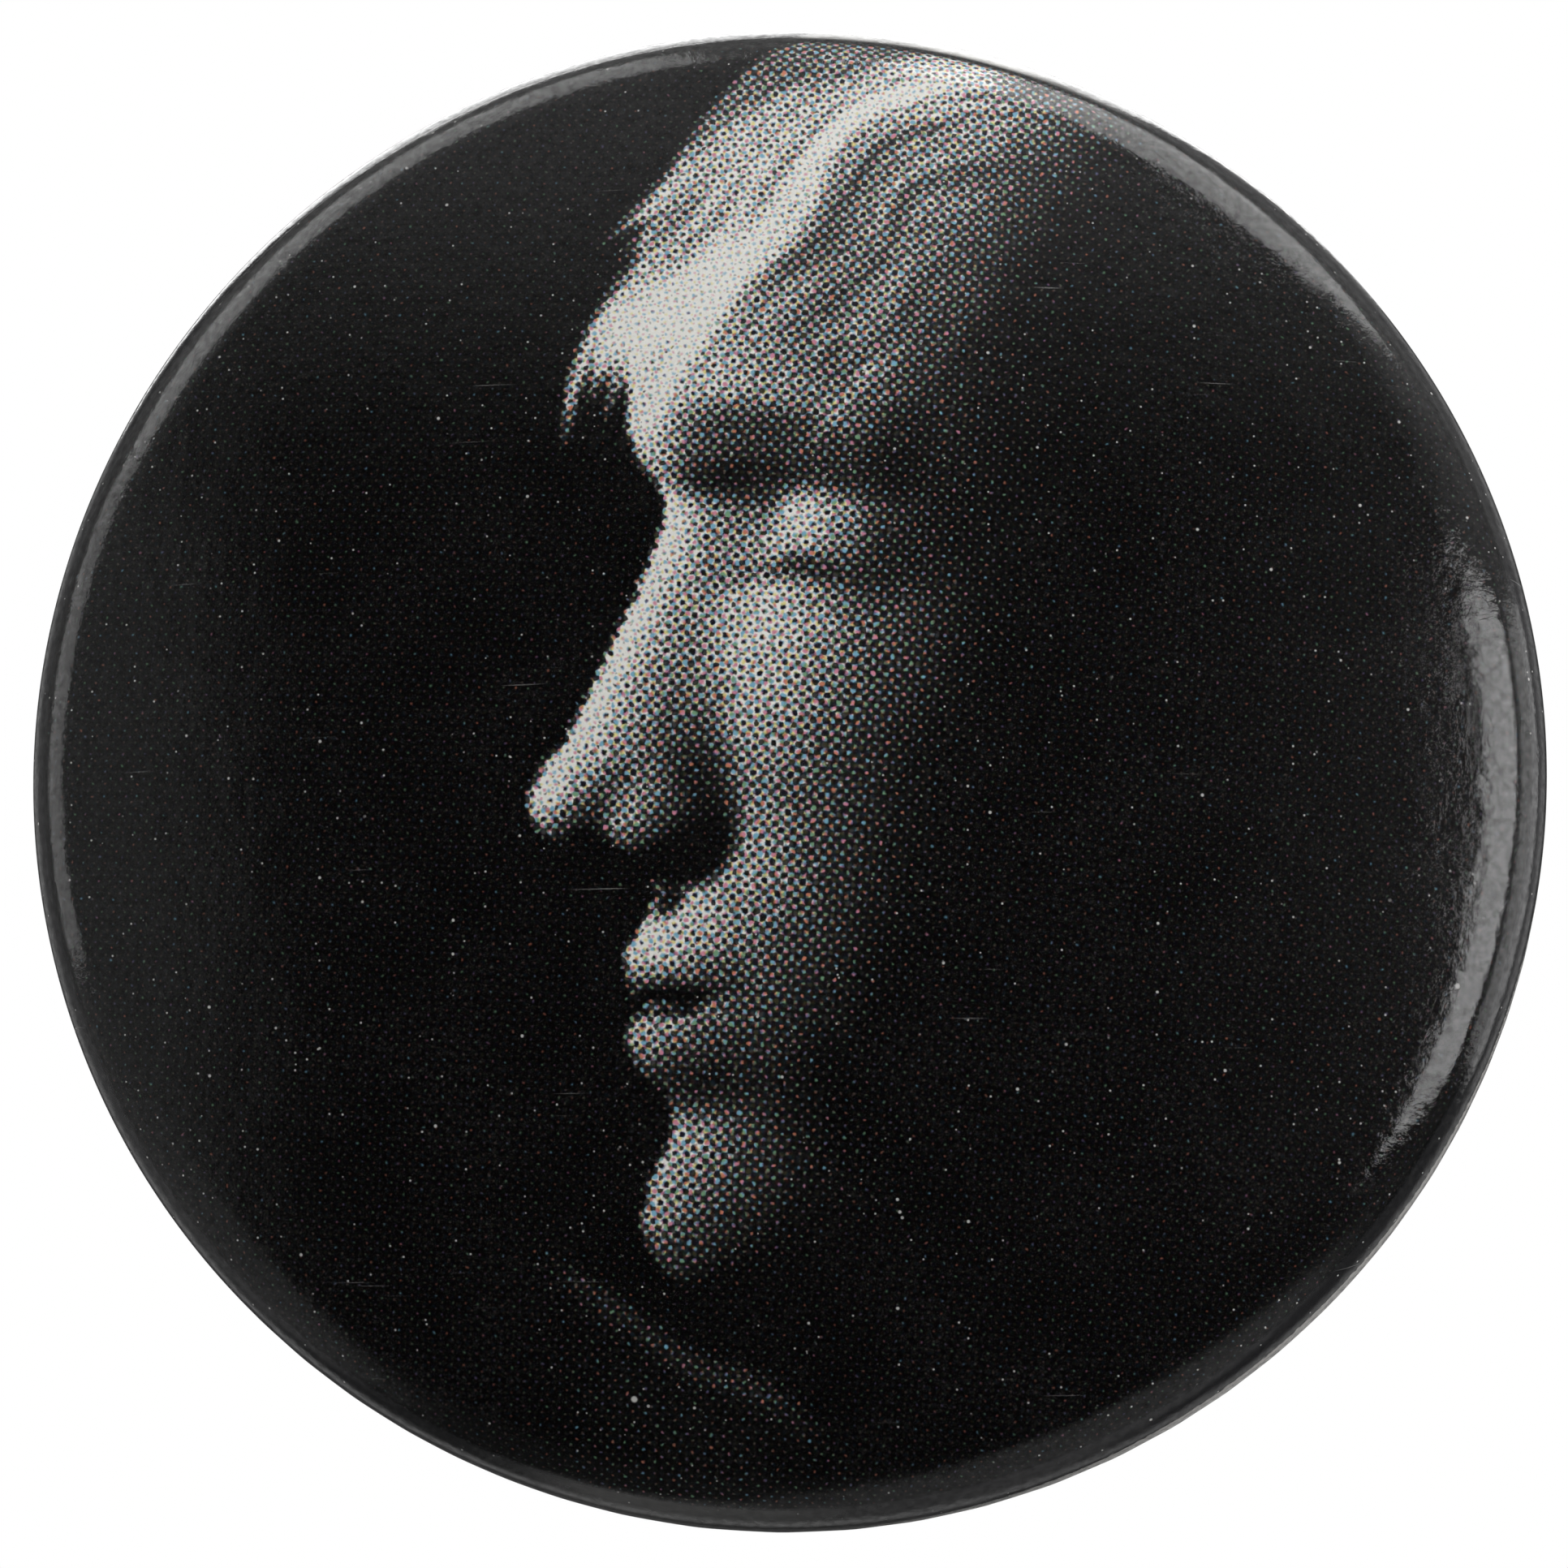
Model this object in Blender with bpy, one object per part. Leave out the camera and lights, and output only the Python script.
"""Open-back button badge, 25 mm: film, picture paper, tinplate shell, collet and a D-shaped wire pin.

The badge stands upright as it is worn. Its face looks along -Y, its picture's top is +Z, and the origin
is the middle of its back plane. Turned pieces are drawn as (radius, height) profiles, where the height is
measured forward from the back plane, and a Screw modifier sweeps them round the badge's axis.
"""

import math

import bmesh
import bpy

MM = 0.001

# Outside of the badge
OUTER_RADIUS = 12.6 * MM
THICKNESS = 5.0 * MM
DOME_RADIUS = 33.0 * MM
SHOULDER_RADIUS = 1.4 * MM
CURL_RADIUS = 1.15 * MM

# Layers, from the outside in
FILM = 0.10 * MM
PAPER = 0.15 * MM
TINPLATE = 0.25 * MM
LAYER_GAP = 0.02 * MM
HEM_CENTRE_RADIUS = 11.20 * MM
HEM_END_RADIUS = 11.45 * MM

# Collet
FLANGE_OUTER_RADIUS = 11.80 * MM
BACK_FACE_OUTER_RADIUS = 10.75 * MM
BACK_FACE_INNER_RADIUS = 9.20 * MM
COLLET_DEPTH = 1.90 * MM
SEAT_INNER_RADIUS = 8.30 * MM
DIMPLE_RADIUS = 0.38 * MM
DIMPLE_CENTRE_RADIUS = 9.25 * MM
DIMPLE_HEIGHT = 0.62 * MM
DIMPLE_ANGLES = (10, 63, 117, 170)
BACK_EDGE_CHAMFER = 0.10 * MM

# Pin wire
WIRE_RADIUS = 0.35 * MM
RING_RADIUS = 8.80 * MM
WIRE_HEIGHT = 1.25 * MM
ROOT_BEND_RADIUS = 1.00 * MM
HOOK_RADIUS = 1.30 * MM
HOOK_START = 198
HOOK_END = 320
HOOK_RISE = 0.66 * MM
NEEDLE_Z = -3.00 * MM
NEEDLE_TIP_X = -7.60 * MM
NEEDLE_TIP_RADIUS = 0.05 * MM
NEEDLE_TAPER = 2.50 * MM
ROOT_CLEARANCE = 0.05 * MM

# Fineness
TURNED_STEPS = 48
ARC_STEPS = 4
HEM_STEPS = 3
WIRE_STEP_DEGREES = 6.5
WIRE_ROUNDNESS = 3
BALL_END_ANGLES = (4, 25, 45, 65, 90)
DIMPLE_SUBDIVISIONS = 2
MERGE = 0.0001 * MM


def clear_scene():
    for obj in list(bpy.data.objects):
        bpy.data.objects.remove(obj, do_unlink=True)


def make_material(name, colour, roughness, metallic, alpha=1.0):
    material = bpy.data.materials.new(name)
    material.use_nodes = True
    shader = material.node_tree.nodes["Principled BSDF"]
    shader.inputs["Base Color"].default_value = (*colour, 1.0)
    shader.inputs["Roughness"].default_value = roughness
    shader.inputs["Metallic"].default_value = metallic
    shader.inputs["Alpha"].default_value = alpha
    material.diffuse_color = (*colour, alpha)
    return material


def arc(centre, radius, start, end, steps):
    """Points on an arc in a profile, with angles in degrees from the outward direction towards the front."""
    points = []
    for step in range(steps + 1):
        angle = math.radians(start + (end - start) * step / steps)
        points.append((centre[0] + radius * math.cos(angle), centre[1] + radius * math.sin(angle)))
    return points


def shoulder_centre():
    """Where the shoulder arc meets the dome arc with no kink, and touches the outer radius."""
    radius = OUTER_RADIUS - SHOULDER_RADIUS
    reach = DOME_RADIUS - SHOULDER_RADIUS
    height = THICKNESS - DOME_RADIUS + math.sqrt(reach**2 - radius**2)
    return radius, height


def wrap_path(depth, with_hem):
    """The badge's outer surface moved inward by a depth, from the middle of the face to the hidden edge.

    It runs over the dome, the shoulder and the side, and round the back curl. A hem goes on round the
    shell's lip and back outward between the shell and the collet's flange.
    """
    centre = shoulder_centre()
    dome_centre = (0.0, THICKNESS - DOME_RADIUS)
    dome_end = math.degrees(math.atan2(centre[1] - dome_centre[1], centre[0]))
    points = arc(dome_centre, DOME_RADIUS - depth, 90, dome_end, ARC_STEPS)
    points[0] = (0.0, THICKNESS - depth)
    points += arc(centre, SHOULDER_RADIUS - depth, dome_end, 0, ARC_STEPS)[1:]
    curl_centre = (OUTER_RADIUS - CURL_RADIUS, CURL_RADIUS)
    points += arc(curl_centre, CURL_RADIUS - depth, 0, -90, ARC_STEPS)
    points.append((HEM_CENTRE_RADIUS, depth))
    if not with_hem:
        return points
    shell_middle = FILM + PAPER + TINPLATE / 2 + 2 * LAYER_GAP
    hem_centre = (HEM_CENTRE_RADIUS, shell_middle)
    points += arc(hem_centre, shell_middle - depth, 270, 90, HEM_STEPS)[1:]
    points.append((HEM_END_RADIUS, 2 * shell_middle - depth))
    return points


def layer_profile(depth, thickness, with_hem):
    outer = wrap_path(depth, with_hem)
    inner = wrap_path(depth + thickness, with_hem)
    return outer + inner[::-1]


def collet_profile():
    """A hat section: flange, joggle, flat back face, inner wall and seat lip, as one closed loop."""
    flange = 2 * FILM + 2 * PAPER + TINPLATE + 5 * LAYER_GAP
    wall = TINPLATE
    front = [
        (FLANGE_OUTER_RADIUS, flange + wall),
        (FLANGE_OUTER_RADIUS, flange),
        (BACK_FACE_OUTER_RADIUS, flange),
        (BACK_FACE_OUTER_RADIUS, BACK_EDGE_CHAMFER),
        (BACK_FACE_OUTER_RADIUS - BACK_EDGE_CHAMFER, 0.0),
    ]
    back = [
        (BACK_FACE_INNER_RADIUS + BACK_EDGE_CHAMFER, 0.0),
        (BACK_FACE_INNER_RADIUS, BACK_EDGE_CHAMFER),
        (BACK_FACE_INNER_RADIUS, COLLET_DEPTH - wall),
        (SEAT_INNER_RADIUS, COLLET_DEPTH - wall),
        (SEAT_INNER_RADIUS, COLLET_DEPTH),
        (BACK_FACE_INNER_RADIUS + wall, COLLET_DEPTH),
        (BACK_FACE_INNER_RADIUS + wall, wall),
        (BACK_FACE_OUTER_RADIUS - wall, wall),
        (BACK_FACE_OUTER_RADIUS - wall, flange + wall),
    ]
    return front + back


def link(name, data, material):
    obj = bpy.data.objects.new(name, data)
    bpy.context.scene.collection.objects.link(obj)
    data.materials.append(material)
    return obj


def face_forward(obj):
    """Turns local +Z, along which profiles are drawn, to the badge's face direction, -Y."""
    obj.rotation_euler = (math.radians(90), 0, 0)


def turned_piece(name, profile, closed, material):
    mesh = bpy.data.meshes.new(name)
    bm = bmesh.new()
    vertices = [bm.verts.new((radius, 0, height)) for radius, height in profile]
    for start, end in zip(vertices, vertices[1:]):
        bm.edges.new((start, end))
    if closed:
        bm.edges.new((vertices[-1], vertices[0]))
    bm.to_mesh(mesh)
    bm.free()
    obj = link(name, mesh, material)
    face_forward(obj)
    screw = obj.modifiers.new("Turn", "SCREW")
    screw.axis = "Z"
    screw.steps = TURNED_STEPS
    screw.render_steps = TURNED_STEPS
    screw.use_merge_vertices = True
    screw.merge_threshold = MERGE
    screw.use_smooth_shade = True
    return obj


def make_dimples():
    """A hidden helper mesh of four balls, which a union joins to the collet's inner wall."""
    mesh = bpy.data.meshes.new("dimples")
    bm = bmesh.new()
    for degrees in DIMPLE_ANGLES:
        made = bmesh.ops.create_icosphere(bm, subdivisions=DIMPLE_SUBDIVISIONS, radius=DIMPLE_RADIUS)
        angle = math.radians(degrees)
        x = DIMPLE_CENTRE_RADIUS * math.cos(angle)
        y = DIMPLE_CENTRE_RADIUS * math.sin(angle)
        bmesh.ops.translate(bm, verts=made["verts"], vec=(x, y, DIMPLE_HEIGHT))
    bm.to_mesh(mesh)
    bm.free()
    helper = bpy.data.objects.new("dimples", mesh)
    bpy.context.scene.collection.objects.link(helper)
    face_forward(helper)
    helper.hide_render = True
    helper.display_type = "WIRE"
    return helper


def make_collet(material):
    collet = turned_piece("back_collet", collet_profile(), True, material)
    union = collet.modifiers.new("Retaining dimples", "BOOLEAN")
    union.operation = "UNION"
    union.solver = "EXACT"
    union.object = make_dimples()
    return collet


def wire_point(radius, degrees, centre=(0.0, 0.0), height=WIRE_HEIGHT):
    """A point on the wire's centre line, on a circle seen from the front, in world axes."""
    angle = math.radians(degrees)
    return (centre[0] + radius * math.cos(angle), -height, centre[1] + radius * math.sin(angle))


def turn(start, end):
    """Angles in even steps from one angle to another."""
    steps = max(2, round(abs(end - start) / WIRE_STEP_DEGREES))
    return [start + (end - start) * step / steps for step in range(steps + 1)]


def root_angle():
    """Where the ring hands over to the bend, so that the bend ends level with the needle."""
    reach = RING_RADIUS - ROOT_BEND_RADIUS
    return math.degrees(math.asin((NEEDLE_Z + ROOT_BEND_RADIUS) / reach))


def inner_centre(degrees, radius):
    """The centre of a circle of the given radius that touches the wire ring from inside at an angle."""
    reach = RING_RADIUS - radius
    return reach * math.cos(math.radians(degrees)), reach * math.sin(math.radians(degrees))


def smooth_step(share):
    share = min(1.0, max(0.0, share))
    return share * share * (3 - 2 * share)


def wire_path():
    """Root bend, ring and hook. The hook dips under the needle's tip and ends behind it."""
    start = root_angle()
    bend_centre = inner_centre(start, ROOT_BEND_RADIUS)
    points = [wire_point(ROOT_BEND_RADIUS, a, bend_centre) for a in turn(-90, start)]
    points += [wire_point(RING_RADIUS, a) for a in turn(start, HOOK_START)][1:]
    hook_centre = inner_centre(HOOK_START, HOOK_RADIUS)
    for angle in turn(HOOK_START, HOOK_END)[1:]:
        rise = smooth_step((angle - HOOK_START) / (HOOK_END - HOOK_START))
        points.append(wire_point(HOOK_RADIUS, angle, hook_centre, WIRE_HEIGHT - HOOK_RISE * rise))
    return points


def make_wire(name, points, radii, material):
    curve = bpy.data.curves.new(name, "CURVE")
    curve.dimensions = "3D"
    curve.bevel_depth = WIRE_RADIUS
    curve.bevel_resolution = WIRE_ROUNDNESS
    curve.use_fill_caps = True
    spline = curve.splines.new("POLY")
    spline.points.add(len(points) - 1)
    for point, place, radius in zip(spline.points, points, radii):
        point.co = (*place, 1.0)
        point.radius = radius / WIRE_RADIUS
    spline.use_smooth = True
    return link(name, curve, material)


def make_pin_wire(material):
    points = wire_path()
    return make_wire("pin_wire", points, [WIRE_RADIUS] * len(points), material)


def needle_root():
    """The needle's pivot, in line with the end of the root bend."""
    bend_end = inner_centre(root_angle(), ROOT_BEND_RADIUS)[0]
    return bend_end - WIRE_RADIUS - ROOT_CLEARANCE, -WIRE_HEIGHT, NEEDLE_Z


def make_needle(material):
    """A straight arm along -X with a ball end on its pivot and a sharpened tip. Its origin is the pivot."""
    root = needle_root()
    length = root[0] - NEEDLE_TIP_X
    points = []
    radii = []
    for degrees in BALL_END_ANGLES:
        angle = math.radians(degrees)
        points.append((WIRE_RADIUS * math.cos(angle), 0, 0))
        radii.append(WIRE_RADIUS * math.sin(angle))
    points += [(-(length - NEEDLE_TAPER), 0, 0), (-length, 0, 0)]
    radii += [WIRE_RADIUS, NEEDLE_TIP_RADIUS]
    needle = make_wire("pin_needle", points, radii, material)
    needle.location = root
    return needle


def main():
    clear_scene()
    film = make_material("clear film", (0.85, 0.87, 0.88), 0.08, 0.0, alpha=0.15)
    paper = make_material("picture paper", (0.05, 0.05, 0.055), 0.5, 0.0)
    tinplate = make_material("tinplate", (0.62, 0.62, 0.60), 0.32, 1.0)
    collet_tin = make_material("collet tinplate", (0.66, 0.66, 0.64), 0.28, 1.0)
    nickel = make_material("nickel wire", (0.70, 0.68, 0.64), 0.2, 1.0)
    layers = (
        ("clear_film", 0.0, FILM, True, film),
        ("picture_paper", FILM + LAYER_GAP, PAPER, True, paper),
        ("front_shell", FILM + PAPER + 2 * LAYER_GAP, TINPLATE, False, tinplate),
    )
    for name, depth, thickness, with_hem, material in layers:
        turned_piece(name, layer_profile(depth, thickness, with_hem), False, material)
    make_collet(collet_tin)
    make_pin_wire(nickel)
    make_needle(nickel)


main()
